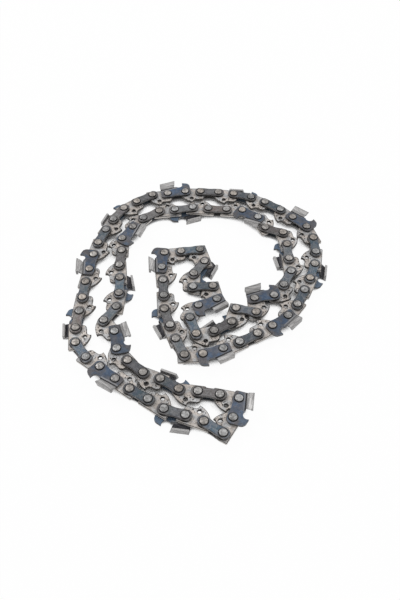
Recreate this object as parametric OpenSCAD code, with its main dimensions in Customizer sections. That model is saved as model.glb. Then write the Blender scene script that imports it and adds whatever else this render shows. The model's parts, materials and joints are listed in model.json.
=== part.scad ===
// Saw chain: a closed loop of riveted links that lies on its side, doubled and rolled up in a spiral.
// Millimetres, +Z up, origin on the surface that the chain lies on, under the middle of the coil.
// The flat pivots run along Z. Each link points the way the chain travels, tangs to its right.

/* [Chain] */
// Rivet spacing along a side link
side_pitch = 9.96; // [9.8:0.02:10.4]
// Rivet spacing along a drive link
drive_pitch = 8.68; // [8.5:0.02:9.1]
// Thickness of a drive link, which is the gauge of the guide bar's groove
gauge = 1.3; // [1.1:0.05:1.6]
// First rivet of the loop, right of the coil's middle
first_x = 2.69; // [0:0.01:5]
// First rivet of the loop, behind the coil's middle
first_y = 21.67; // [19:0.01:24]

/* [Side plates] */
// Thickness of a tie strap and of a cutter's plate
plate_t = 1.25; // [1:0.05:1.4]
// Half the height of a side plate at its rivets
plate_half = 2.6; // [2.4:0.05:2.7]
// Length of a side plate past each rivet
plate_end = 3.1; // [2.8:0.05:3.15]
// Corner radius of a side plate
plate_corner = 2.3; // [1:0.1:2.4]
// Depth of the waist on the tang side
waist_tang = 0.45; // [0.1:0.05:0.7]
// Depth of a tie strap's waist on the cutter side
waist_back = 0.25; // [0.1:0.05:0.5]
// Radius of the waist's arc
waist_r = 14; // [10:1:30]

/* [Drive links] */
// Length of a drive link past each rivet
drive_end = 3.3; // [3:0.05:3.4]
// Height of the straight back above the rivets
back_h = 3.6; // [3.3:0.05:3.7]
// Corner radius of the back
back_corner = 0.6; // [0.3:0.1:1]
// Depth of the tang below the rivets
tang_depth = 7.5; // [6.8:0.1:7.6]
// Radius of the tang's trailing edge
trail_r = 10.1; // [9:0.1:11]
// Distance of the trailing edge's centre behind the front rivet
trail_back = 2.1; // [1.8:0.1:2.5]
// Depth of the toe in front of the tang
toe_depth = 5.2; // [4.8:0.1:5.3]
// Corner radius of the toe
toe_r = 2; // [1.2:0.1:2.2]
// Radius of the notch between tang and toe
notch_r = 1.7; // [1.2:0.1:1.9]
// Distance of the notch's centre behind the front rivet
notch_back = 2.4; // [2:0.1:2.6]
// Diameter of the oil hole
oil_hole_d = 1.9; // [1:0.1:2.1]
// Distance of the oil hole ahead of the rear rivet
oil_ahead = 3.7; // [3.4:0.1:4.2]
// Depth of the oil hole below the rivets
oil_drop = 4.25; // [4:0.05:4.6]

/* [Cutters] */
// Length of a cutter behind its rear rivet
heel = 3.6; // [3.2:0.05:3.7]
// Corner radius at the foot of the heel
heel_r = 1.2; // [0.5:0.1:2]
// Width of cut, over the corners of left and right cutters
kerf = 7.2; // [6.4:0.1:7.6]
// Height of the bend line over the rear rivet
bend_h = 3.45; // [3.2:0.05:3.6]
// Rise of the top plate towards its cutting edge, in degrees
top_rise = 9.8; // [6:0.2:11]
// Width of the flared shoulder outside the bend line
shoulder_w = 1; // [0.7:0.1:1.3]
// Step of the shoulder to the side
shoulder_out = 0.75; // [0.4:0.05:1]
// Height of the top plate over the bend line
top_h = 3.3; // [2.8:0.1:3.5]
// Thickness of the top plate
top_t = 1.1; // [0.8:0.05:1.3]
// Width of the flat at the outer corner, on which a left cutter lies
land_w = 0.4; // [0.2:0.05:0.6]
// Lean of the cutting edge back from its corner, in degrees
edge_lean = 20; // [10:1:35]
// Height of the depth gauge's tip over the rivets
limiter_h = 6.9; // [6.4:0.1:7.1]
// Fall of the depth gauge from its tip to the front, in degrees
limiter_fall = 16; // [0:1:20]
// Radius of the depth gauge's round front
limiter_r = 2.6; // [1:0.1:3]
// Radius of the gullet
gullet_r = 2.2; // [1.8:0.1:2.4]
// Distance of the gullet's centre ahead of the rear rivet
gullet_ahead = 7; // [6.7:0.1:7.1]
// Height of the gullet's centre over the rivets
gullet_h = 5.9; // [5.8:0.1:6.3]
// Width of the gullet's mouth, which the cutting corner overhangs
mouth_w = 4.2; // [3.4:0.1:4.4]

/* [Rivets] */
// Diameter of the hub that a drive link turns on
hub_d = 4.8; // [4:0.1:5]
// Diameter of the shank in the side plates
shank_d = 3; // [2.4:0.1:3.4]
// Diameter of a rivet head
head_d = 3.7; // [3.5:0.1:4.2]
// Height of a rivet head
head_h = 0.6; // [0.4:0.05:0.8]
// Rise of the head's dome over its rim
dome_h = 0.2; // [0.1:0.05:0.38]

/* [Fits] */
// Radial running clearance between hub and drive link
hub_clear = 0.05; // [0.02:0.01:0.1]
// Clearance between a drive link's faces and the side plates
side_clear = 0.05; // [0.02:0.01:0.15]
// Clearance of a seated rivet in its plates
seat_clear = 0.02; // [0.01:0.01:0.05]

/* [Hidden] */
$fn = 64;

// Heading of each side link and of the drive link after it, in whole degrees, as the chain lies.
// The last pair closes the loop, so its headings follow from the others.
LAY = [
  // zigzag in the middle of the coil
  [-124, -92], [3, -77], [-157, -118], [-72, 12], [31, 74], [-14, 92], [11, 52],
  // inner run, from the right side over the top and down the left side
  [64, 92], [92, 100], [158, 114], [147, 176], [176, 174], [-170, -172], [-148, -128],
  [-121, -88], [-93, -84], [-88, -95], [-123, -49], [-80, -50], [-41, -23], [-32, -8],
  // fold at the outer end
  [-10, -13], [-107, -121], [146, 159], [162, 146],
  // outer run, back up the left side, over the top and down the right side
  [148, 143], [139, 143], [125, 96], [86, 86], [87, 83], [83, 79], [71, 67], [59, 38],
  [32, 7], [10, 0], [-4, -8], [-15, -29], [-35, -44], [-46, -72], [-88, -99], [-110, -114],
  [-116, -126],
  // around the middle
  [-143, -148], [-151, -154], [-162, -177], [115, 110], [107, 94], [94, 96], [84, 7]
];
links = len(LAY) + 1;

// Rear rivet of the first side link
first_rivet = [first_x, first_y];

// Pairs of side links, outer and inner, that stay parallel while the coil loosens, in order from the middle
OUTER_BARS = [41, 39, 35, 33, 32, 29, 26, 25];
INNER_BARS = [7, 8, 11, 13, 14, 15, 19, 20];
cells = len(OUTER_BARS);

// Every second side link carries a cutter. Hands alternate, but two right cutters follow each other
// where the loop is joined, after this side link.
joined_after = 42;

// Levels from the middle plane of the chain
plate_in = gauge / 2 + side_clear;
plate_out = plate_in + plate_t;
mid_z = kerf / 2;

// Walls of the gullet: the cutting corner at its back, the depth gauge at its front
corner_ahead = gullet_ahead - mouth_w / 2;
limiter_ahead = gullet_ahead + mouth_w / 2;

// Unit vector of a heading
function unit(a) = [cos(a), sin(a)];

// Heading from one point to another
function heading(a, b) = atan2(b.y - a.y, b.x - a.x);

// Point at distance ra from a and rb from b, on the left of the way from a to b
function meet(a, b, ra, rb) =
  let (
    gap = norm(b - a),
    along = (gap * gap + ra * ra - rb * rb) / (2 * gap),
    aside = sqrt(ra * ra - along * along),
    u = (b - a) / gap
  )
  a + along * u + aside * [-u.y, u.x];

// An inner bar lies parallel to its outer partner and points the other way
function lay_side(i) =
  let (bar = search(i, INNER_BARS))
  len(bar) > 0 ? LAY[OUTER_BARS[bar[0]]][0] + 180 : LAY[i][0];

// Rear rivets of all side links, and the front rivets that follow from them
function step(i) = side_pitch * unit(lay_side(i)) + drive_pitch * unit(LAY[i][1]);
REAR = [
  for (i = 0, p = first_rivet; i < links; p = i < links - 1 ? p + step(i) : p, i = i + 1) p
];
closing = meet(REAR[links - 1], first_rivet, side_pitch, drive_pitch);
FRONT = [
  for (i = [0 : links - 1])
    i < links - 1 ? REAR[i] + side_pitch * unit(lay_side(i)) : closing
];

// What a side link carries
function is_cutter(i) = i % 2 == 0;
function is_right(i) = (i / 2 + (i > joined_after ? 1 : 0)) % 2 == 1;
function cutter_level(i) = is_cutter(i) ? (is_right(i) ? 1 : -1) : 0;

// Side links and drive links of each length of chain that moves as one
core_sides = [for (i = [0 : INNER_BARS[0] - 1]) i, for (i = [OUTER_BARS[0] + 1 : links - 1]) i];
core_drives = [for (i = [0 : INNER_BARS[0] - 1]) i, for (i = [OUTER_BARS[0] : links - 1]) i];
fold_sides = [for (i = [INNER_BARS[cells - 1] + 1 : OUTER_BARS[cells - 1] - 1]) i];
fold_drives = [for (i = [INNER_BARS[cells - 1] : OUTER_BARS[cells - 1] - 1]) i];
function range(a, b) = [for (i = a; i <= b; i = i + 1) i];
function outer_sides(k) = range(OUTER_BARS[k + 1] + 1, OUTER_BARS[k] - 1);
function outer_drives(k) = range(OUTER_BARS[k + 1], OUTER_BARS[k] - 1);
function inner_sides(k) = range(INNER_BARS[k] + 1, INNER_BARS[k + 1] - 1);
function inner_drives(k) = range(INNER_BARS[k], INNER_BARS[k + 1] - 1);

// Names of the nodes of one length of chain, which has plates and rivets only if it has side links
function run_nodes(name, sides) = [
  str(name, "_drive_links"),
  if (len(sides) > 0) str(name, "_plates"),
  if (len(sides) > 0) str(name, "_rivets")
];
function outer_name(k) = str("outer_run_", k + 1);
function inner_name(k) = str("inner_run_", k + 1);

// Colours of the photographed pieces
steel = "#b8b2aa";
gunmetal = "#4e555d";
blued = "#3c4a60";
chrome = "#bdbbb7";
rivet_grey = "#c3b9aa";

// Rectangle between two corners, with round corners
module rounded(low, high, r) {
  size = high - low;
  translate(low + [r, 0]) square(size - [2 * r, 0]);
  translate(low + [0, r]) square(size - [0, 2 * r]);
  for (x = [low.x + r, high.x - r], y = [low.y + r, high.y - r]) translate([x, y]) circle(r = r);
}

// Shallow arc cut into the middle of a side plate: side is 1 for the cutter side and -1 for the tang side
module waist(side, depth)
  translate([side_pitch / 2, side * (plate_half + waist_r - depth)]) circle(r = waist_r, $fn = 180);

// Holes for the rivet shanks
module shank_holes()
  for (x = [0, side_pitch]) translate([x, 0]) circle(d = shank_d + 2 * seat_clear);

// Outline of a tie strap
module strap_profile()
  difference() {
    rounded([-plate_end, -plate_half], [side_pitch + plate_end, plate_half], plate_corner);
    waist(-1, waist_tang);
    waist(1, waist_back);
    shank_holes();
  }

// Tie strap on the upper side of the chain
module tie_strap()
  color(gunmetal) translate([0, 0, plate_in]) linear_extrude(plate_t) strap_profile();

// Outline of a drive link: straight back, round ends, hooked tang with its toe in front
module drive_profile()
  difference() {
    union() {
      rounded([-drive_end, -back_corner], [drive_pitch + drive_end, back_h], back_corner);
      for (x = [0, drive_pitch]) translate([x, 0]) circle(r = drive_end);
      translate([0, -drive_end]) square([drive_pitch, drive_end]);
      tang_profile();
      translate([drive_pitch / 2, -toe_depth]) square([drive_pitch / 2, toe_depth]);
      translate([drive_pitch, toe_r - toe_depth]) circle(r = toe_r);
    }
    translate([oil_ahead, -oil_drop]) circle(d = oil_hole_d);
    for (x = [0, drive_pitch]) translate([x, 0]) circle(d = hub_d + 2 * hub_clear);
  }

// Tang behind its notch
module tang_profile() {
  notch_x = drive_pitch - notch_back;
  difference() {
    intersection() {
      translate([drive_pitch - trail_back, trail_r - tang_depth]) circle(r = trail_r, $fn = 180);
      translate([-drive_end, -tang_depth]) square([drive_end + notch_x, tang_depth]);
    }
    translate([notch_x, -toe_depth - notch_r]) circle(r = notch_r);
  }
}

// Drive link, between its rivets
module drive_link()
  color(steel) translate([0, 0, -gauge / 2]) linear_extrude(gauge) drive_profile();

// Flat part of a cutter: heel, web under the bend line and depth gauge
module cutter_profile() {
  front = side_pitch + plate_end;
  difference() {
    union() {
      rounded([-plate_end, -plate_half], [front, plate_half], plate_corner);
      rounded([-heel, -plate_half], [side_pitch / 2, plate_half], heel_r);
      intersection() {
        translate([0, bend_h]) rotate(top_rise) translate([-front, -front]) square([2 * front, front]);
        translate([-heel, 0]) square([heel + limiter_ahead, limiter_h]);
      }
      limiter_profile(front);
    }
    waist(-1, waist_tang);
    shank_holes();
  }
}

// Depth gauge: a tip over the gullet, a top that falls from it and a round front that the top runs into
module limiter_profile(front) {
  fall = tan(limiter_fall);
  centre_x = front - limiter_r;
  centre_y = limiter_h - (centre_x - limiter_ahead) * fall - limiter_r / cos(limiter_fall);
  translate([gullet_ahead, 0]) square([front - gullet_ahead, centre_y]);
  translate([centre_x, centre_y]) circle(r = limiter_r);
  polygon([
    [gullet_ahead, 0],
    [centre_x, 0],
    [centre_x, centre_y] + limiter_r * [sin(limiter_fall), cos(limiter_fall)],
    [gullet_ahead, limiter_h + (limiter_ahead - gullet_ahead) * fall]
  ]);
}

// Section of the flared shoulder and the top plate, across the chain: height over the bend line, then level
module top_section() {
  root = bend_h / 2;
  polygon([
    [-root, plate_out],
    [0, plate_out],
    [shoulder_w, plate_out + shoulder_out],
    [top_h - land_w, mid_z],
    [top_h, mid_z],
    [top_h, plate_in + side_clear],
    [top_h - top_t, plate_in + side_clear],
    [top_h - top_t, mid_z - top_t],
    [shoulder_w, plate_in + shoulder_out],
    [0, plate_in],
    [-root, plate_in]
  ]);
}

// Block that the top plate is cut out of: square at the heel, leaning at the cutting edge
module top_limits() {
  back = mid_z * tan(edge_lean);
  rotate([90, 0, 0]) translate([0, 0, -2 * limiter_h]) linear_extrude(2 * limiter_h)
    polygon([[-heel, 0], [corner_ahead - back, 0], [corner_ahead, mid_z], [-heel, mid_z]]);
}

// Gullet, filed round and open at the top
module gullet_profile() {
  translate([gullet_ahead, gullet_h]) circle(r = gullet_r);
  translate([corner_ahead, gullet_h]) square([mouth_w, limiter_h]);
}

// Right cutter, on the upper side of the chain
module cutter()
  difference() {
    union() {
      color(blued) translate([0, 0, plate_in]) linear_extrude(plate_t) cutter_profile();
      color(chrome) intersection() {
        translate([0, bend_h, 0]) rotate([0, 0, top_rise]) translate([-2 * heel, 0, 0])
          rotate([90, 0, 90]) linear_extrude(2 * (heel + corner_ahead)) top_section();
        top_limits();
      }
    }
    linear_extrude(kerf) gullet_profile();
  }

// Half section of a rivet above the middle plane: hub, shank and domed head
module rivet_profile() {
  top = plate_out + head_h;
  dome_r = (head_d * head_d / 4 + dome_h * dome_h) / (2 * dome_h);
  square([hub_d / 2, plate_in - seat_clear]);
  square([shank_d / 2, plate_out + head_h / 2]);
  intersection() {
    translate([0, plate_out + seat_clear]) square([head_d / 2, head_h]);
    translate([0, top - dome_r]) circle(r = dome_r, $fn = 180);
  }
}

// Rivet, headed at both ends
module rivet()
  color(rivet_grey) rotate_extrude() {
    rivet_profile();
    mirror([0, 1]) rivet_profile();
  }

// Place of side link i, with its rear rivet at the origin
module at_side(i)
  translate([REAR[i].x, REAR[i].y, mid_z]) rotate(heading(REAR[i], FRONT[i])) children();

// Place of the drive link after side link i
module at_drive(i)
  translate([FRONT[i].x, FRONT[i].y, mid_z]) rotate(heading(FRONT[i], REAR[(i + 1) % links])) children();

// Drive links of a length of chain
module drive_links(list)
  for (i = list) at_drive(i) drive_link();

// Tie straps of the listed side links: both plates, or the one opposite a cutter
module tie_straps(list)
  for (i = list) at_side(i) {
    if (cutter_level(i) != 1) tie_strap();
    if (cutter_level(i) != -1) mirror([0, 0, 1]) tie_strap();
  }

// Cutters of the listed side links, of one hand
module cutters(list, level)
  for (i = list) if (cutter_level(i) == level) at_side(i) {
    if (level == 1) cutter();
    else mirror([0, 0, 1]) cutter();
  }

// Both rivets of each listed side link
module rivets(list)
  for (i = list, x = [0, side_pitch]) at_side(i) translate([x, 0, 0]) rivet();

// All side plates of a length of chain
module plates(list) {
  tie_straps(list);
  cutters(list, 1);
  cutters(list, -1);
}

// One whole side link: two plates and two rivets
module side_link(i) {
  plates([i]);
  rivets([i]);
}

// A length of chain in its nodes
module run(name, sides, drives) {
  drive_links(drives);
  plates(sides);
  rivets(sides);
}

drive_links(core_drives);  // core_drive_links
tie_straps(core_sides);  // core_tie_straps
cutters(core_sides, 1);  // core_right_cutters
cutters(core_sides, -1);  // core_left_cutters
rivets(core_sides);  // core_rivets
for (k = [0 : cells - 1]) {
  side_link(OUTER_BARS[k]);
  side_link(INNER_BARS[k]);
}
for (k = [0 : cells - 2]) {
  run(outer_name(k), outer_sides(k), outer_drives(k));
  run(inner_name(k), inner_sides(k), inner_drives(k));
}
drive_links(fold_drives);  // fold_drive_links
tie_straps(fold_sides);  // fold_tie_straps
for (level = [-1, 1]) cutters(fold_sides, level);  // fold_cutters
rivets(fold_sides);  // fold_rivets
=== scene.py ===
"""Looks of a rolled-up saw chain: every solid of the frame gets rounded edges, and its metal a finish."""
import json
import math
import random

import bmesh
import bpy
import numpy as np
from mathutils import Matrix, Vector

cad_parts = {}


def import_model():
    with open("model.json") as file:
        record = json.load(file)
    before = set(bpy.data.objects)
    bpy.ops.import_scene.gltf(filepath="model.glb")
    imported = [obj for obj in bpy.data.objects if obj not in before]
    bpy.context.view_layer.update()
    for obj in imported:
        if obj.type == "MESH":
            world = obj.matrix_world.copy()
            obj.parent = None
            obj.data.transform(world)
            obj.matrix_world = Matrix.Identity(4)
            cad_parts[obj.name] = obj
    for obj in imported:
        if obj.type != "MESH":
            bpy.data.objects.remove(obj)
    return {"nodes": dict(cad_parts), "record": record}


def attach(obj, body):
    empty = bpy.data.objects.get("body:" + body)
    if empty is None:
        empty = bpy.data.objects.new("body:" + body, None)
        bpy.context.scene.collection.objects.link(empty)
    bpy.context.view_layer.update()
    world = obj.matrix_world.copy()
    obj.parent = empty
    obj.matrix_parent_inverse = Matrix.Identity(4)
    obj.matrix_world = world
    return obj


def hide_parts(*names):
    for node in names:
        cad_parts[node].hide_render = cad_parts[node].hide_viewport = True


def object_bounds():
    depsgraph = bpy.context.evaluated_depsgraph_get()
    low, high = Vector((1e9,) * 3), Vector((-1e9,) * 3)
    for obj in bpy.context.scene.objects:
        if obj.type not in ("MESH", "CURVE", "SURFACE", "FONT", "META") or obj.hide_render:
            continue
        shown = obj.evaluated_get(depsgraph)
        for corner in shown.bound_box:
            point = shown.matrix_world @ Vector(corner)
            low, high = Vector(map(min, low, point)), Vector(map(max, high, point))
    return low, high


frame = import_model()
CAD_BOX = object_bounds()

# Metres in a millimetre: sizes below are millimetres unless their name says otherwise
MM = 0.001
# Points closer than this are one point of a solid
WELD = 0.0005
# Middle plane of the chain, between its upper and lower plates
MID_Z = (CAD_BOX[0].z + CAD_BOX[1].z) / 2 / MM

# Radii of the holes by which a plate is matched to its two rivets
HUB_BORE = 2.45
SHANK_HOLE = 1.52
ON_WALL = 0.012

# Distance between the rivets of a side link and of a drive link
SIDE_PITCH = 9.96
DRIVE_PITCH = 8.68
SIDE_RIVETS = ((0, 0, 0), (SIDE_PITCH, 0, 0))
DRIVE_RIVETS = ((0, 0, 0), (DRIVE_PITCH, 0, 0))
# Side plate: its length past each rivet, and the level of the bright band on its walls, partly the punch's
# burnished band and partly painted highlight
PLATE_END = 3.1
PLATE_BRIGHT = 1.55

# How metallic the finishes are: all four are dulled by oil, oxide or wear
METALLIC = 0.4
# How far apart in their noise two links can lie, along and across, so that no two look alike
NOISE_SPREAD = (91.0, 47.0)
# Painted shade round a rivet head, for the head's contact shadow: how far past the head it is full, and where
# it ends
RING_FULL = 0.42
RING_END = 0.6

# Rounding of stamped edges
ROUND_DRIVE = 0.10
ROUND_PLATE = 0.14
ROUND_CUTTER = 0.09
ROUND_STEPS = 2
# Edges up to this far past a rivet hole are hidden, and stay sharp
HIDDEN_PAST_HOLE = 0.1
# Width of the darkened outline on the broad faces
OUTLINE_W = 0.32
# Edges sharper than the first are rounded, and faces that meet flatter than the second become one
SHARP_ANGLE = math.radians(24)
FLAT_ANGLE = math.radians(0.6)
# Broad faces: how level they are on a flat link, and how large at least on a cutter's top plate, in square mm
BROAD_LEVEL = 0.9
TOP_AREA = 5

# Rivet: hub between the plates, shank, and peened head with its dimple
HUB_R = 2.4
HUB_TOP = 0.68
SHANK_R = 1.5
PLATE_OUT = 1.95
HEAD_SEAT = 1.97
HEAD_R = 1.85
HEAD_TOP = 2.55
RIM_TOP = 2.35
DIMPLE_R = 0.55
DIMPLE_DEPTH = 0.05
CREST_R = DIMPLE_R * 1.4
HEAD_CHAMFER = 0.04
DOME_STEPS = 7
RIVET_SIDES = 40

# Oil hole of a drive link, from its rear rivet
OIL_HOLE = (3.7, -4.25, 0)
OIL_HOLE_R = 0.95

# Bend line of a cutter, over its rear rivet, and the gullet that ends its top plate
BEND_H = 3.45
TOP_RISE = math.radians(9.8)
GULLET_AHEAD = 7
# Flared shoulder over the bend line, and how far its two folds are rounded
SHOULDER_W = 1.0
BEND_ROUND = 0.55
SHOULDER_ROUND = 0.3
BEND_STEPS = 5
# Cosine over which an edge counts as running along the bend line
ALONG_BEND = 0.999
# Inside of the bent part of a cutter: where it starts over the bend line, and how far its faces look down
INSIDE_FROM = 0.05
INSIDE_DOWN = -0.2
# Where the light lip of the top plate starts on its inside, over the bend line
LIP = 2.2
# How far the chrome runs down below the bend line
PLATED_BELOW = 1.4

# Camera of the photograph
VIEW_POINT = Vector((0.34, -4.46, 6.1)) * MM
VIEW_ELEVATION = math.radians(51.67)
VIEW_DISTANCE = 339.2 * MM
VIEW_LENS = 41.35
SENSOR = 36
# Nearest and farthest that the camera sees, in metres
CLIP_NEAR = 0.01
CLIP_FAR = 20

# Studio sky: where it is brightest, and its level there and on the opposite side
SKY_AIM = (-0.1, 0.4, 0.9)
SKY_BRIGHT = 0.64
SKY_DIM = 0.24
# Soft lamps: height in degrees, distance and size in metres, and for each its azimuth and its power
LAMP_ELEVATION = 48
LAMP_DISTANCE = 2.5
LAMP_SIZE = 0.7
LAMPS = {"left": (230, 17.0), "right": (130, 13.0)}

# Floor: how far it runs from the middle, in metres, its look, and how much white an open place shows
FLOOR_HALF = 3.0
FLOOR_GREY = 0.9
FLOOR_ROUGH = 0.9
WHITE_SHARE = 0.97
# Shade on the floor: how far off the chain shades it, and the open shares of sky that look dark and white
SHADE_REACH = 12.0
SHADE_DARK = 0.22
SHADE_WHITE = 0.33

SLOTS = {"drive": "drive_steel", "strap": "strap_steel", "cutter": "cutter_steel", "rivet": "rivet_steel"}
SEED = 11
# How warm the links are on the whole, from 0 to 1, and how much they differ
WARM_MEAN = 0.42
WARM_SPREAD = 0.42


# Reading the frame

def solids_of(node):
    """The separate solids of a CAD node: welded points in mm, and faces as point numbers."""
    bm = bmesh.new()
    bm.from_mesh(frame["nodes"][node].data)
    bmesh.ops.remove_doubles(bm, verts=bm.verts, dist=WELD * MM)
    bm.verts.index_update()
    parent = list(range(len(bm.verts)))

    def root(i):
        while parent[i] != i:
            parent[i] = parent[parent[i]]
            i = parent[i]
        return i

    for edge in bm.edges:
        a, b = (root(v.index) for v in edge.verts)
        parent[max(a, b)] = min(a, b)
    points = np.array([v.co for v in bm.verts]) / MM
    roots = np.array([root(i) for i in range(len(points))])
    faces = [[v.index for v in f.verts] for f in bm.faces]
    bm.free()
    found = []
    for r in np.unique(roots):
        members = np.flatnonzero(roots == r)
        number = {int(m): k for k, m in enumerate(members)}
        own = [[number[i] for i in f] for f in faces if roots[f[0]] == r]
        found.append((points[members], own))
    return found


def kind_of(points):
    """What a solid is, by its thickness and its level."""
    low, high = points[:, 2].min() - MID_Z, points[:, 2].max() - MID_Z
    if low < -PLATE_OUT and high > PLATE_OUT:
        return "rivet"
    if low < 0 < high:
        return "drive"
    return "cutter" if max(high, -low) > PLATE_OUT + WELD else "strap"


def pivots_of(points, hole_r):
    """Numbers of the two rivets whose axes run through the holes of a plate."""
    reach = np.linalg.norm(points[:, None, :2] - AXES[None], axis=2)
    on_wall = (np.abs(reach - hole_r) < ON_WALL).sum(0)
    return [int(i) for i in np.argsort(-on_wall, kind="stable")[:2]]


def place(rear, front, lower=False):
    """Matrix from a link's own frame in mm to the part's frame in metres. A lower plate is mirrored."""
    along = (AXES[front] - AXES[rear]) / np.linalg.norm(AXES[front] - AXES[rear])
    up = -1 if lower else 1
    return Matrix((
        (along[0] * MM, -along[1] * MM, 0, AXES[rear][0] * MM),
        (along[1] * MM, along[0] * MM, 0, AXES[rear][1] * MM),
        (0, 0, up * MM, MID_Z * MM),
        (0, 0, 0, 1),
    ))


BODY_OF = {n: b for b, members in frame["record"]["behaviour"]["bodies"].items() for n in members}
SOLIDS = [
    {"node": node, "kind": kind_of(points), "points": points, "faces": faces}
    for node in sorted(frame["nodes"])
    for points, faces in solids_of(node)
]
RIVETS = [s for s in SOLIDS if s["kind"] == "rivet"]
AXES = np.array([(s["points"].min(0) + s["points"].max(0))[:2] / 2 for s in RIVETS])

# A drive link's tang is on the right of its way of travel, which tells its front from its rear
drive_from = set()
for s in SOLIDS:
    if s["kind"] == "drive":
        a, b = pivots_of(s["points"], HUB_BORE)
        along = AXES[b] - AXES[a]
        side = (s["points"][:, :2] - AXES[a]) @ np.array((-along[1], along[0]))
        if side.max() > -side.min():
            a, b = b, a
        drive_from.add(a)
        s["place"] = place(a, b)

# The front rivet of a side link is the one that the next drive link starts from
for s in SOLIDS:
    if s["kind"] in ("strap", "cutter"):
        a, b = pivots_of(s["points"], SHANK_HOLE)
        if a in drive_from:
            a, b = b, a
        s["lower"] = bool(s["points"][:, 2].mean() < MID_Z)
        s["place"] = place(a, b, s["lower"])

for k, s in enumerate(RIVETS):
    s["place"] = Matrix.Translation((AXES[k][0] * MM, AXES[k][1] * MM, MID_Z * MM)) @ Matrix.Scale(MM, 4)


# Shapes of the links, in their own frames, in mm

def shape_from(bm):
    """Points and faces of a finished link, which faces are rounded edges, and which points are outline."""
    bm.normal_update()
    bm.verts.index_update()
    edge = bm.faces.layers.float["edge"]
    return {
        "points": np.array([v.co for v in bm.verts]),
        "outline": np.array([float(any(f[edge] > 0 for f in v.link_faces)) for v in bm.verts]),
        "faces": [[v.index for v in f.verts] for f in bm.faces],
        "edge": np.array([f[edge] for f in bm.faces]),
        "normal": np.array([f.normal for f in bm.faces]),
        "centre": np.array([f.calc_center_median() for f in bm.faces]),
    }


def over_bend(points):
    """Height of points over a cutter's bend line."""
    return (points[:, 1] - BEND_H) * math.cos(TOP_RISE) - points[:, 0] * math.sin(TOP_RISE)


def along_bend(edge):
    """True for an edge that runs the way of a cutter's bend line."""
    way = (edge.verts[1].co - edge.verts[0].co).normalized()
    return abs(way.x * math.cos(TOP_RISE) + way.y * math.sin(TOP_RISE)) > ALONG_BEND


def round_bend(bm, height, width):
    """Gives the fold at a height over a cutter's bend line a smooth bend."""
    fold = []
    for e in bm.edges:
        middle = np.array([(e.verts[0].co + e.verts[1].co) / 2])
        if e.is_manifold and along_bend(e) and abs(over_bend(middle)[0] - height) < ON_WALL:
            if e.calc_face_angle(0) > SHARP_ANGLE:
                fold.append(e)
    bmesh.ops.bevel(
        bm, geom=fold, offset=width, offset_type="OFFSET", segments=BEND_STEPS, profile=0.5,
        affect="EDGES", clamp_overlap=True,
    )


def is_broad(kind, face):
    """True for a face on a broad side of a flat link, or of a cutter's top plate."""
    if kind != "cutter":
        return abs(face.normal.z) > BROAD_LEVEL
    centre = np.array([face.calc_center_median()])
    return over_bend(centre)[0] > SHOULDER_W and face.calc_area() > TOP_AREA


def rounded_link(kind, width, hidden_r=0):
    """A link with the CAD solid's shape and rounded edges. Edges within hidden_r of a rivet stay sharp."""
    sample = next(s for s in SOLIDS if s["kind"] == kind and not s.get("lower"))
    back = sample["place"].inverted()
    bm = bmesh.new()
    verts = [bm.verts.new(back @ (Vector(p) * MM)) for p in sample["points"]]
    for face in sample["faces"]:
        bm.faces.new([verts[i] for i in face])
    bmesh.ops.recalc_face_normals(bm, faces=bm.faces)
    bmesh.ops.dissolve_limit(bm, angle_limit=FLAT_ANGLE, verts=bm.verts, edges=bm.edges)
    pitch = DRIVE_PITCH if kind == "drive" else SIDE_PITCH
    if kind == "cutter":
        round_bend(bm, 0, BEND_ROUND)
        round_bend(bm, SHOULDER_W, SHOULDER_ROUND)
    edge = bm.faces.layers.float.new("edge")
    sharp = []
    for e in bm.edges:
        if not e.is_manifold or e.calc_face_angle(0) < SHARP_ANGLE:
            continue
        middle = (e.verts[0].co + e.verts[1].co) / 2
        near = min(middle.xy.length, (middle.xy - Vector((pitch, 0))).length)
        if near > hidden_r:
            sharp.append(e)
    made = bmesh.ops.bevel(
        bm, geom=sharp, offset=width, offset_type="OFFSET", segments=ROUND_STEPS, profile=0.5,
        affect="EDGES", clamp_overlap=True,
    )
    for f in made["faces"]:
        f[edge] = 1
    # Where the rounding runs out at a corner, it leaves faces with no width, and one fin
    bmesh.ops.dissolve_degenerate(bm, edges=bm.edges, dist=WELD)
    bmesh.ops.remove_doubles(bm, verts=bm.verts, dist=WELD)
    fins = [f for f in bm.faces if any(e.is_boundary for e in f.edges)]
    bmesh.ops.delete(bm, geom=fins, context="FACES")
    bm.normal_update()
    broad = [f for f in bm.faces if f[edge] == 0 and is_broad(kind, f)]
    bmesh.ops.inset_region(bm, faces=broad, thickness=OUTLINE_W, use_boundary=True, use_even_offset=True)
    shape = shape_from(bm)
    bm.free()
    return shape


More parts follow.
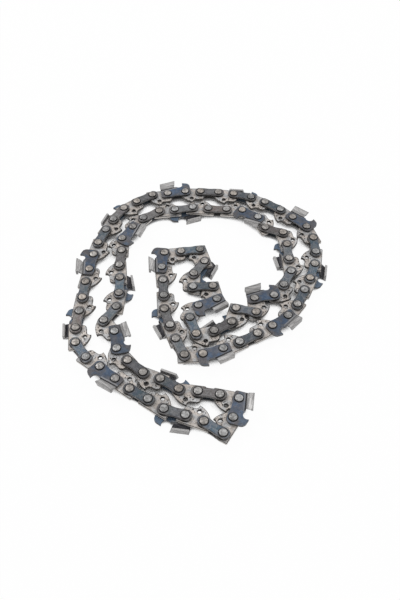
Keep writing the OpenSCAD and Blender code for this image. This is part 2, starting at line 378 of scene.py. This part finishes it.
def turned_rivet():
    """A rivet turned about its axis, with a peened head at each end."""
    dome = [
        (0, HEAD_TOP - DIMPLE_DEPTH),
        (DIMPLE_R * 0.6, HEAD_TOP - DIMPLE_DEPTH * 0.8),
        (DIMPLE_R, HEAD_TOP - DIMPLE_DEPTH * 0.1),
        (CREST_R, HEAD_TOP),
    ]
    for k in range(1, DOME_STEPS + 1):
        t = k / DOME_STEPS * math.pi / 2
        out, up = CREST_R + (HEAD_R - CREST_R) * math.sin(t), RIM_TOP + (HEAD_TOP - RIM_TOP) * math.cos(t)
        dome.append((out, up))
    half = dome + [
        (HEAD_R, HEAD_SEAT + HEAD_CHAMFER), (HEAD_R - HEAD_CHAMFER, HEAD_SEAT), (SHANK_R, HEAD_SEAT),
        (SHANK_R, HUB_TOP), (HUB_R, HUB_TOP),
    ]
    profile = half + [(r, -z) for r, z in reversed(half)]
    bm = bmesh.new()
    edge = bm.faces.layers.float.new("edge")
    rings = []
    for r, z in profile:
        if r == 0:
            rings.append([bm.verts.new((0, 0, z))])
        else:
            turn = [2 * math.pi * k / RIVET_SIDES for k in range(RIVET_SIDES)]
            rings.append([bm.verts.new((r * math.cos(a), r * math.sin(a), z)) for a in turn])
    for low, high in zip(rings, rings[1:]):
        for k in range(RIVET_SIDES):
            after = k + 1
            corners = [low[k % len(low)], high[k % len(high)], high[after % len(high)], low[after % len(low)]]
            bm.faces.new(list(dict.fromkeys(corners)))
    bmesh.ops.recalc_face_normals(bm, faces=bm.faces)
    for f in bm.faces:
        f[edge] = 0
    shape = shape_from(bm)
    bm.free()
    return shape


SHAPES = {
    "drive": rounded_link("drive", ROUND_DRIVE, HUB_BORE + HIDDEN_PAST_HOLE),
    "strap": rounded_link("strap", ROUND_PLATE, SHANK_HOLE + HIDDEN_PAST_HOLE),
    "cutter": rounded_link("cutter", ROUND_CUTTER, SHANK_HOLE + HIDDEN_PAST_HOLE),
    "rivet": turned_rivet(),
}


def face_values(kind, shape):
    """What the finish of each face depends on: worn edge, stamped wall with its painted shade and highlight,
    and the inner sides of a cutter.
    """
    wall = 1 - np.abs(shape["normal"][:, 2])
    values = {"edge": shape["edge"], "wall": wall * (1 - shape["edge"])}
    if kind == "cutter":
        centre, normal = shape["centre"], shape["normal"]
        bent = (over_bend(centre) > INSIDE_FROM) & (centre[:, 0] < GULLET_AHEAD - 1)
        inside = bent & (normal[:, 2] < INSIDE_DOWN)
        values["inside"] = inside.astype(float)
        values["inner"] = ((normal[:, 2] < -BROAD_LEVEL) & ~inside).astype(float)
    return values


# Finishes: colours are linear, lengths are in mm on the link, and noise scales are per mm

class Finish:
    """Node tree of one material, with short calls for the nodes that it needs."""

    def __init__(self, name):
        self.material = bpy.data.materials.new(name)
        self.material.use_nodes = True
        self.tree = self.material.node_tree
        self.shader = self.tree.nodes["Principled BSDF"]

    def node(self, kind, inputs=(), **settings):
        """A new node, with its settings, and with values or links in its sockets."""
        made = self.tree.nodes.new(kind)
        for key, value in settings.items():
            setattr(made, key, value)
        for key, value in dict(inputs).items():
            self.feed(made.inputs[key], value)
        return made

    def feed(self, socket, value):
        """Links an output to a socket, or sets the socket to a constant."""
        if isinstance(value, bpy.types.NodeSocket):
            self.tree.links.new(value, socket)
        else:
            socket.default_value = value

    def value(self, name):
        """A number that the mesh carries."""
        return self.node("ShaderNodeAttribute", attribute_name=name).outputs["Fac"]

    def math(self, operation, a, b=0.0):
        """A sum, product or the like of two numbers."""
        return self.node("ShaderNodeMath", {0: a, 1: b}, operation=operation).outputs[0]

    def between(self, x, low, high, out_low=0.0, out_high=1.0):
        """A smooth step from one value to another."""
        inputs = {"Value": x, "From Min": low, "From Max": high, "To Min": out_low, "To Max": out_high}
        return self.node("ShaderNodeMapRange", inputs, interpolation_type="SMOOTHSTEP").outputs[0]

    def mix(self, share, a, b, blend="MIX"):
        """Colour a, with a share of b over it."""
        made = self.node("ShaderNodeMix", data_type="RGBA", blend_type=blend)
        for key, value in ((0, share), (6, a), (7, b)):
            colour = (*value, 1) if isinstance(value, tuple) else value
            self.feed(made.inputs[key], colour)
        return made.outputs[2]

    def spot(self):
        """Place on the link in mm, and the same place moved by a different way on each link."""
        here = self.node("ShaderNodeAttribute", attribute_name="spot").outputs["Vector"]
        tone = self.value("tone")
        x, y = (self.math("MULTIPLY", tone, spread) for spread in NOISE_SPREAD)
        shift = self.node("ShaderNodeCombineXYZ", {0: x, 1: y}).outputs[0]
        moved = self.node("ShaderNodeVectorMath", {0: here, 1: shift}, operation="ADD").outputs[0]
        return here, moved

    def by_link(self, colour, low, high):
        """The colour, lighter on some links than on others."""
        return self.mix(1.0, colour, self.between(self.value("tone"), 0.0, 1.0, low, high), "MULTIPLY")

    def tinted(self, colour, share, cool, warm):
        """The colour, drawn to a cool or to a warm tint."""
        return self.mix(1.0, colour, self.mix(share, cool, warm), "MULTIPLY")

    def outlined(self, colour, strength, dark):
        """The colour, darker along the outline of the broad sides."""
        return self.mix(self.between(self.value("outline"), 0.05, 0.75, 0.0, strength), colour, dark)

    def with_head_shade(self, colour, here, dark):
        """The colour, with painted shade round the rivet heads on a side plate, for the heads' contact
        shadow.
        """
        ring_shade = self.between(self.reach(here, *SIDE_RIVETS), HEAD_R + RING_FULL, HEAD_R + RING_END, 0.95, 0.0)
        return self.mix(ring_shade, colour, dark)

    def middle(self, here, low, high):
        """How near a place is to the middle of a side plate's length."""
        away = self.math("ABSOLUTE", self.math("SUBTRACT", self.part(here, 0), SIDE_PITCH / 2))
        return self.between(away, low, high, 1.0, 0.0)

    def walls(self):
        """How much of a stamped wall a face is."""
        return self.between(self.value("wall"), 0.3, 0.9, 0.0, 0.9)

    def part(self, vector, axis):
        """One part of a vector."""
        return self.node("ShaderNodeSeparateXYZ", {0: vector}).outputs[axis]

    def reach(self, here, *centres):
        """Distance across the link to the nearest of some upright axes."""
        flat = self.stretched(here, 1, 1, 0)
        near = None
        for centre in centres:
            away = self.node("ShaderNodeVectorMath", {0: flat, 1: centre}, operation="DISTANCE")
            away = away.outputs["Value"]
            near = away if near is None else self.math("MINIMUM", near, away)
        return near

    def sheared_band_and_highlight(self, here, level, half):
        """Bright band along a wall, partly the burnished band that the punch leaves and partly painted
        highlight, at a level, and half as wide as given.
        """
        away = self.math("ABSOLUTE", self.math("SUBTRACT", self.part(here, 2), level))
        return self.between(away, half - 0.24, half, 1.0, 0.0)

    def over_bend(self, here):
        """Height over a cutter's bend line."""
        rise = self.math("MULTIPLY", self.math("SUBTRACT", self.part(here, 1), BEND_H), math.cos(TOP_RISE))
        return self.math("SUBTRACT", rise, self.math("MULTIPLY", self.part(here, 0), math.sin(TOP_RISE)))

    def noise(self, where, scale, detail=3.0, roughness=0.55):
        """Clouded noise from 0 to 1."""
        inputs = {"Vector": where, "Scale": scale, "Detail": detail, "Roughness": roughness}
        return self.node("ShaderNodeTexNoise", inputs).outputs["Fac"]

    def stretched(self, where, x, y, z):
        """A place with each of its parts scaled."""
        return self.node("ShaderNodeVectorMath", {0: where, 1: (x, y, z)}, operation="MULTIPLY").outputs[0]

    def bump(self, height, depth):
        """Fine relief of a depth."""
        inputs = {"Height": height, "Strength": 1.0, "Distance": depth * MM}
        self.feed(self.shader.inputs["Normal"], self.node("ShaderNodeBump", inputs).outputs[0])

    def done(self, colour, roughness):
        """The finished material."""
        self.feed(self.shader.inputs["Base Color"], colour)
        self.feed(self.shader.inputs["Roughness"], roughness)
        self.shader.inputs["Metallic"].default_value = METALLIC
        return self.material


def drive_steel():
    """Bare stamped steel: light grey, pitted on the tang, with painted shade round the ends of the side
    plates over it, dark at the edges, and walls partly painted dark as shade.
    """
    dull, bright, speck = (0.44, 0.415, 0.397), (0.66, 0.632, 0.61), (0.21, 0.198, 0.189)
    pit_floor, painted_shade = (0.04, 0.034, 0.031), (0.012, 0.011, 0.01)
    outline, corner = (0.045, 0.041, 0.038), (0.035, 0.031, 0.029)
    torn_and_shaded, tang_band, back_band = (0.016, 0.014, 0.013), (0.13, 0.12, 0.11), (0.8, 0.76, 0.72)
    cool_tint, warm_tint = (0.95, 1.0, 1.05), (1.04, 1.0, 0.96)
    f = Finish("drive_steel")
    here, moved = f.spot()
    height = f.part(here, 1)
    cloud = f.noise(moved, 0.45, 4)
    grain = f.noise(moved, 2.6, 3, 0.7)
    pit = f.between(f.noise(moved, 1.15, 2, 0.5), 0.565, 0.605)
    pit = f.math("MULTIPLY", pit, f.between(height, -3.4, -1.5, 1.0, 0.3))
    colour = f.mix(f.between(cloud, 0.3, 0.7), dull, bright)
    colour = f.by_link(f.mix(f.between(grain, 0.35, 0.75, 0.0, 0.5), colour, speck), 0.92, 1.12)
    colour = f.tinted(colour, f.between(f.noise(moved, 0.3, 2), 0.38, 0.56), cool_tint, warm_tint)
    colour = f.mix(f.math("MULTIPLY", pit, 0.9), colour, pit_floor)
    colour = f.outlined(colour, 0.75, outline)
    # Painted shade round the ends of the side plates that lie over the drive link, where their contact shadow
    # falls
    under = f.between(f.reach(here, *DRIVE_RIVETS), PLATE_END - 0.25, PLATE_END + 0.1, 0.9, 0.0)
    colour = f.mix(under, colour, painted_shade)
    colour = f.mix(f.math("MULTIPLY", f.value("edge"), 0.85), colour, corner)
    # Walls: their dark is partly the fractured zone of the cut and partly painted shade, their light band
    # partly the punch's burnished band and partly painted highlight, lightest on the back; round the oil hole
    # the wall is all painted shade, which darkens the hole
    off_hole = f.between(f.reach(here, OIL_HOLE), OIL_HOLE_R + 0.15, OIL_HOLE_R + 0.4)
    band = f.mix(f.between(height, -1.0, 1.5), tang_band, back_band)
    wall = f.mix(f.math("MULTIPLY", f.sheared_band_and_highlight(here, 0.0, 0.52), off_hole), torn_and_shaded, band)
    colour = f.mix(f.walls(), colour, wall)
    f.bump(f.math("SUBTRACT", grain, f.math("MULTIPLY", pit, 0.6)), 0.012)
    return f.done(colour, f.between(cloud, 0.3, 0.7, 0.56, 0.44))


def strap_steel():
    """Blackened steel: bluer or browner between the rivets, with painted shade round the heads, dark at the
    edges, and walls partly painted dark as shade.
    """
    cool_end, warm_end = (0.106, 0.123, 0.143), (0.174, 0.145, 0.136)
    cool_middle, warm_middle = (0.06, 0.121, 0.175), (0.186, 0.152, 0.138)
    green, purple = (0.10, 0.122, 0.108), (0.135, 0.112, 0.135)
    rubbed, speck, ring_shade = (0.235, 0.236, 0.242), (0.036, 0.038, 0.044), (0.01, 0.01, 0.012)
    outline, black_edge, bare_edge = (0.03, 0.023, 0.024), (0.03, 0.03, 0.033), (0.5, 0.485, 0.47)
    torn_and_shaded, band, scratched = (0.006, 0.006, 0.007), (0.26, 0.252, 0.248), (0.30, 0.315, 0.335)
    cool_tint, warm_tint = (0.97, 1.0, 1.03), (1.05, 1.0, 0.95)
    f = Finish("strap_steel")
    here, moved = f.spot()
    warm = f.value("warm")
    cloud = f.noise(moved, 0.5, 4)
    grain = f.noise(f.stretched(moved, 1.0, 2.2, 1.0), 2.2, 4, 0.65)
    streak = f.noise(f.stretched(moved, 0.4, 1.6, 1.0), 1.3, 3, 0.6)
    ends, heart = f.mix(warm, cool_end, warm_end), f.mix(warm, cool_middle, warm_middle)
    colour = f.mix(f.middle(here, 1.2, 4.4), ends, heart)
    colour = f.mix(0.28, colour, f.mix(f.between(f.noise(moved, 0.33, 2), 0.4, 0.6), green, purple))
    colour = f.mix(f.between(cloud, 0.42, 0.62, 0.0, 0.65), colour, rubbed)
    colour = f.mix(f.between(streak, 0.54, 0.66, 0.0, 0.6), colour, scratched)
    colour = f.by_link(f.mix(f.between(grain, 0.44, 0.68, 0.0, 0.72), colour, speck), 0.74, 1.28)
    colour = f.tinted(colour, warm, cool_tint, warm_tint)
    # Painted shade round the rivet heads, for their contact shadow
    colour = f.outlined(f.with_head_shade(colour, here, ring_shade), 0.6, outline)
    rim = f.mix(f.between(cloud, 0.45, 0.65, 0.05, 0.5), black_edge, bare_edge)
    colour = f.mix(f.math("MULTIPLY", f.value("edge"), 0.8), colour, rim)
    # Walls: their dark is partly the fractured zone of the cut and partly painted shade, their light band
    # partly the punch's burnished band and partly painted highlight
    wall = f.mix(f.sheared_band_and_highlight(here, PLATE_BRIGHT, 0.36), torn_and_shaded, band)
    colour = f.mix(f.walls(), colour, wall)
    f.bump(grain, 0.01)
    return f.done(colour, f.between(cloud, 0.3, 0.7, 0.5, 0.4))


def cutter_steel():
    """Blued plate, and hard chrome from the bend up, drawn lengthwise, with painted shade along the fold, an
    inside dark with oxide and painted shade, painted light on the shoulder and on the plate's inner side, and
    walls partly painted dark as shade.
    """
    blue_end, blue_middle, inner_blue_painted_light = (0.09, 0.098, 0.118), (0.066, 0.09, 0.135), (0.1, 0.148, 0.215)
    rubbed, speck, ring_shade = (0.165, 0.174, 0.2), (0.036, 0.04, 0.052), (0.009, 0.01, 0.013)
    dull_chrome, bright_chrome, outline = (0.27, 0.265, 0.262), (0.67, 0.657, 0.65), (0.07, 0.07, 0.072)
    blued_chrome, fold_shade, corner = (0.12, 0.122, 0.135), (0.012, 0.012, 0.015), (0.06, 0.06, 0.062)
    inside_shade_and_oxide, inside_reflection, lip_light = (0.025, 0.025, 0.032), (0.13, 0.127, 0.14), (0.42, 0.412, 0.408)
    torn_and_shaded, band, bare_edge = (0.006, 0.007, 0.009), (0.26, 0.258, 0.262), (0.52, 0.51, 0.5)
    cool_tint, warm_tint = (0.82, 1.0, 1.16), (1.12, 1.0, 0.9)
    f = Finish("cutter_steel")
    here, moved = f.spot()
    cloud = f.noise(moved, 0.5, 4)
    grain = f.noise(moved, 2.4, 4, 0.65)
    drawn = f.noise(f.stretched(moved, 0.1, 1.5, 1.5), 1.2, 3, 0.65)
    over = f.over_bend(here)
    behind = f.between(f.part(here, 0), GULLET_AHEAD - 2, GULLET_AHEAD - 1, 1.0, 0.0)
    plated = f.math("MULTIPLY", f.between(over, -0.3, -0.1), behind)

    colour = f.mix(f.middle(here, 1.5, 5.5), blue_end, blue_middle)
    colour = f.mix(f.between(cloud, 0.4, 0.65, 0.0, 0.45), colour, rubbed)
    colour = f.by_link(f.mix(f.between(grain, 0.46, 0.7, 0.0, 0.6), colour, speck), 0.9, 1.25)
    colour = f.tinted(colour, f.between(f.noise(moved, 0.3, 2), 0.36, 0.58), cool_tint, warm_tint)
    # Painted shade round the rivet heads, for their contact shadow
    colour = f.with_head_shade(colour, here, ring_shade)
    # Painted light: the inner side of the plate, which lies in shade, is drawn a lighter blue
    inner = f.math("MULTIPLY", f.value("inner"), f.between(cloud, 0.35, 0.65, 1.0, 0.55))
    colour = f.mix(inner, colour, inner_blue_painted_light)

    chrome = f.by_link(f.mix(f.between(drawn, 0.3, 0.7), dull_chrome, bright_chrome), 0.9, 1.1)
    chrome = f.outlined(chrome, 0.25, outline)
    # Painted light: from the shoulder's upper fold down, the chrome is drawn a fifth lighter than on the top
    # plate
    chrome = f.mix(1.0, chrome, f.between(over, SHOULDER_W - 0.1, SHOULDER_W + 0.1, 1.2, 1.0), "MULTIPLY")
    thin = f.math("MULTIPLY", f.between(over, -PLATED_BELOW, 0.4 - PLATED_BELOW), behind)
    thin = f.math("MULTIPLY", thin, f.between(f.value("warm"), 0.3, 0.65, 0.08, 0.75))
    colour = f.mix(thin, colour, f.mix(0.45, chrome, blued_chrome))
    colour = f.mix(plated, colour, chrome)
    # Painted shade in the crease of the bend, less on some links
    fold = f.between(f.math("ABSOLUTE", f.math("ADD", over, 0.2)), 0.24, 0.46, 0.97, 0.0)
    fold = f.math("MULTIPLY", fold, f.between(f.value("tone"), 0.1, 0.3, 0.65, 1.0))
    colour = f.mix(f.math("MULTIPLY", fold, behind), colour, fold_shade)

    # Inside of the bent part: dark oxide with painted shade, lighter lengthwise streaks as painted
    # reflection, and a lighter lip toward the top plate's edge
    inside = f.mix(f.between(drawn, 0.4, 0.7), inside_shade_and_oxide, inside_reflection)
    inside = f.mix(f.between(over, LIP - 0.35, LIP - 0.1), inside, lip_light)
    colour = f.mix(f.value("inside"), colour, inside)

    # Walls below the chrome: their dark is partly the fractured zone of the cut and partly painted shade,
    # their light band partly the punch's burnished band and partly painted highlight
    wall = f.math("MULTIPLY", f.walls(), f.math("SUBTRACT", 1.0, plated))
    colour = f.mix(wall, colour, f.mix(f.sheared_band_and_highlight(here, PLATE_BRIGHT, 0.36), torn_and_shaded, band))
    worn = f.math("MULTIPLY", f.value("edge"), f.between(plated, 0.0, 1.0, 0.15, 0.0))
    colour = f.mix(worn, colour, bare_edge)
    rounded = f.math("MULTIPLY", f.value("edge"), plated)
    colour = f.mix(f.math("MULTIPLY", rounded, 0.35), colour, corner)
    f.bump(f.mix(plated, grain, drawn), 0.008)
    rough = f.math("ADD", f.between(cloud, 0.3, 0.7, 0.56, 0.46), f.math("MULTIPLY", plated, 0.04))
    return f.done(colour, rough)


def rivet_steel():
    """Bare peened steel: grey, dull in the dimple, darker toward the rim, and painted dark as shade on the
    head's side below its rim.
    """
    dull, bright, speck = (0.185, 0.175, 0.165), (0.54, 0.517, 0.494), (0.14, 0.132, 0.124)
    dimple, rim, painted_shade = (0.2, 0.188, 0.178), (0.16, 0.15, 0.142), (0.015, 0.014, 0.013)
    cool_tint, warm_tint = (0.955, 1.0, 1.05), (1.065, 1.0, 0.935)
    f = Finish("rivet_steel")
    here, moved = f.spot()
    out = f.reach(here, (0, 0, 0))
    cloud = f.noise(moved, 0.9, 4)
    grain = f.noise(moved, 3.2, 3, 0.7)
    colour = f.mix(f.between(cloud, 0.3, 0.7), dull, bright)
    colour = f.by_link(f.mix(f.between(grain, 0.45, 0.8, 0.0, 0.55), colour, speck), 0.78, 1.22)
    colour = f.tinted(colour, f.value("warm"), cool_tint, warm_tint)
    colour = f.mix(f.between(out, 0.2, 0.75, 0.3, 0.0), colour, dimple)
    colour = f.mix(f.between(out, 1.2, 1.8, 0.0, 0.4), colour, rim)
    # Painted shade on the side of the head, below its rim
    low = f.between(f.math("ABSOLUTE", f.part(here, 2)), RIM_TOP - 0.08, RIM_TOP + 0.04, 0.92, 0.0)
    colour = f.mix(low, colour, painted_shade)
    f.bump(grain, 0.012)
    return f.done(colour, f.between(cloud, 0.3, 0.7, 0.5, 0.4))


FINISHES = {"drive": drive_steel(), "strap": strap_steel(), "cutter": cutter_steel(), "rivet": rivet_steel()}


# Pieces: one for each kind of link in each CAD node

def joined(name, kind, members):
    """One mesh of all links of a kind in a node, with the values that its finish reads."""
    shape = SHAPES[kind]
    values = face_values(kind, shape)
    count = len(members)
    points, faces = [], []
    for s in members:
        start = len(shape["points"]) * len(points)
        turn = -1 if s.get("lower") else 1
        points.append(shape["points"] @ np.array(s["place"].to_3x3()).T + np.array(s["place"].translation))
        faces += [[i + start for i in f][::turn] for f in shape["faces"]]
    mesh = bpy.data.meshes.new(name)
    mesh.from_pydata(np.concatenate(points).tolist(), [], faces)
    spot = mesh.attributes.new("spot", "FLOAT_VECTOR", "POINT")
    spot.data.foreach_set("vector", np.tile(shape["points"], (count, 1)).astype(np.float32).ravel())
    outline = mesh.attributes.new("outline", "FLOAT", "POINT")
    outline.data.foreach_set("value", np.tile(shape["outline"], count).astype(np.float32))
    for key, per_face in values.items():
        made = mesh.attributes.new(key, "FLOAT", "FACE")
        made.data.foreach_set("value", np.tile(per_face, count).astype(np.float32))
    for key in ("tone", "warm"):
        made = mesh.attributes.new(key, "FLOAT", "FACE")
        own = [s[key] for s in members]
        made.data.foreach_set("value", np.repeat(own, len(shape["faces"])).astype(np.float32))
    mesh.shade_smooth()
    mesh.validate()
    mesh.materials.append(FINISHES[kind])
    return mesh


draw = random.Random(SEED)
for s in SOLIDS:
    s["tone"] = draw.random()
    s["warm"] = min(1, max(0, draw.gauss(WARM_MEAN, WARM_SPREAD)))

for node in sorted(frame["nodes"]):
    for kind in SLOTS:
        members = [s for s in SOLIDS if s["node"] == node and s["kind"] == kind]
        if not members:
            continue
        piece = bpy.data.objects.new(f"{node}-{kind}", joined(f"{node}-{kind}", kind, members))
        bpy.context.scene.collection.objects.link(piece)
        piece.modifiers.new("normals", "WEIGHTED_NORMAL").keep_sharp = False
        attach(piece, BODY_OF[node])
        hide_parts(node)


# Stage, lights and camera

def floor():
    """Plain pale floor, white to the camera where it lies open, and shaded under the chain."""
    mesh = bpy.data.meshes.new("floor")
    r = FLOOR_HALF
    mesh.from_pydata([(-r, -r, 0), (r, -r, 0), (r, r, 0), (-r, r, 0)], [], [(0, 1, 2, 3)])
    obj = bpy.data.objects.new("floor", mesh)
    bpy.context.scene.collection.objects.link(obj)
    f = Finish("floor")
    f.shader.inputs["Base Color"].default_value = (FLOOR_GREY, FLOOR_GREY, FLOOR_GREY, 1)
    f.shader.inputs["Roughness"].default_value = FLOOR_ROUGH
    path = f.node("ShaderNodeLightPath").outputs
    seen = f.math("MAXIMUM", path["Is Camera Ray"], path["Is Glossy Ray"])
    seen = f.math("MAXIMUM", seen, path["Is Transmission Ray"])
    open_sky = f.node("ShaderNodeAmbientOcclusion", {"Distance": SHADE_REACH * MM}).outputs["AO"]
    share = f.math("MULTIPLY", seen, f.between(open_sky, SHADE_DARK, SHADE_WHITE, 0.0, WHITE_SHARE))
    white = f.node("ShaderNodeEmission", {"Color": (1, 1, 1, 1), "Strength": 1.0}).outputs[0]
    both = f.node("ShaderNodeMixShader", {0: share, 1: f.shader.outputs[0], 2: white}).outputs[0]
    f.feed(f.tree.nodes["Material Output"].inputs["Surface"], both)
    mesh.materials.append(f.material)


def world():
    """Soft studio sky: bright above and behind, dim in front."""
    made = bpy.data.worlds.new("studio")
    made.use_nodes = True
    tree = made.node_tree
    where = tree.nodes.new("ShaderNodeTexCoord")
    aim = tree.nodes.new("ShaderNodeVectorMath")
    aim.operation = "DOT_PRODUCT"
    aim.inputs[1].default_value = Vector(SKY_AIM).normalized()
    tree.links.new(where.outputs["Generated"], aim.inputs[0])
    sky = tree.nodes.new("ShaderNodeMapRange")
    for key, value in (("From Min", -1), ("From Max", 1), ("To Min", SKY_DIM), ("To Max", SKY_BRIGHT)):
        sky.inputs[key].default_value = value
    tree.links.new(aim.outputs["Value"], sky.inputs["Value"])
    lit = tree.nodes["Background"]
    lit.inputs["Color"].default_value = (1, 1, 1, 1)
    tree.links.new(sky.outputs[0], lit.inputs["Strength"])
    bpy.context.scene.world = made


def lamp(name, azimuth, power):
    """Square soft light that looks at the coil."""
    data = bpy.data.lights.new(name, "AREA")
    data.size = LAMP_SIZE
    data.energy = power
    obj = bpy.data.objects.new(name, data)
    bpy.context.scene.collection.objects.link(obj)
    a, e = math.radians(azimuth), math.radians(LAMP_ELEVATION)
    away = Vector((math.sin(a) * math.cos(e), -math.cos(a) * math.cos(e), math.sin(e)))
    obj.location = away * LAMP_DISTANCE
    obj.rotation_euler = away.to_track_quat("Z", "Y").to_euler()


def camera():
    """The photograph's camera, in front of the coil and above it."""
    data = bpy.data.cameras.new("photo_camera")
    data.lens = VIEW_LENS
    data.sensor_width = SENSOR
    data.clip_start = CLIP_NEAR
    data.clip_end = CLIP_FAR
    obj = bpy.data.objects.new("photo_camera", data)
    bpy.context.scene.collection.objects.link(obj)
    back = Vector((0, -math.cos(VIEW_ELEVATION), math.sin(VIEW_ELEVATION)))
    obj.location = VIEW_POINT + back * VIEW_DISTANCE
    obj.rotation_euler = back.to_track_quat("Z", "Y").to_euler()
    bpy.context.scene.camera = obj


floor()
world()
for side, (azimuth, power) in LAMPS.items():
    lamp(side, azimuth, power)
camera()
bpy.context.scene.view_settings.view_transform = "Standard"
